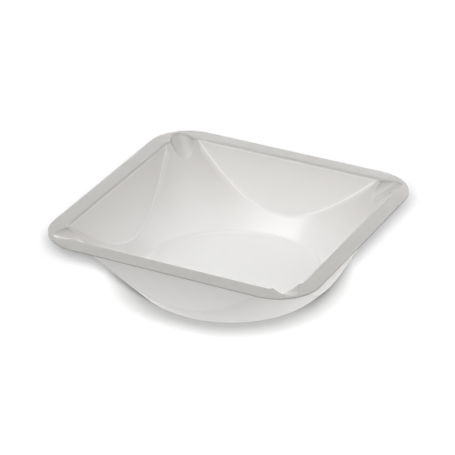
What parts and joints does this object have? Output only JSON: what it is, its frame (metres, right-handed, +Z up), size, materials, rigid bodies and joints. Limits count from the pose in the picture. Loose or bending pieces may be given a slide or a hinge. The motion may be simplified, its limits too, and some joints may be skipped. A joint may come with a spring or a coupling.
{
  "type": "weighing boat",
  "caption": "Thin square dish with a flat rim, a round cone-sided bowl on a flat base, steep side walls and pouring grooves in its corners, for holding a sample on a balance.",
  "frame": {"origin": "centre of the flat base, on the surface that the boat stands on", "axes": "+Z up along the axis of the bowl; X and Y square to the sides of the rim"},
  "size_m": [0.089, 0.089, 0.0236],
  "materials": {
    "white_sheet": "satin, slightly translucent"
  },
  "bodies": {
    "root": {"weighing_boat": "white_sheet"}
  },
  "joints": []
}
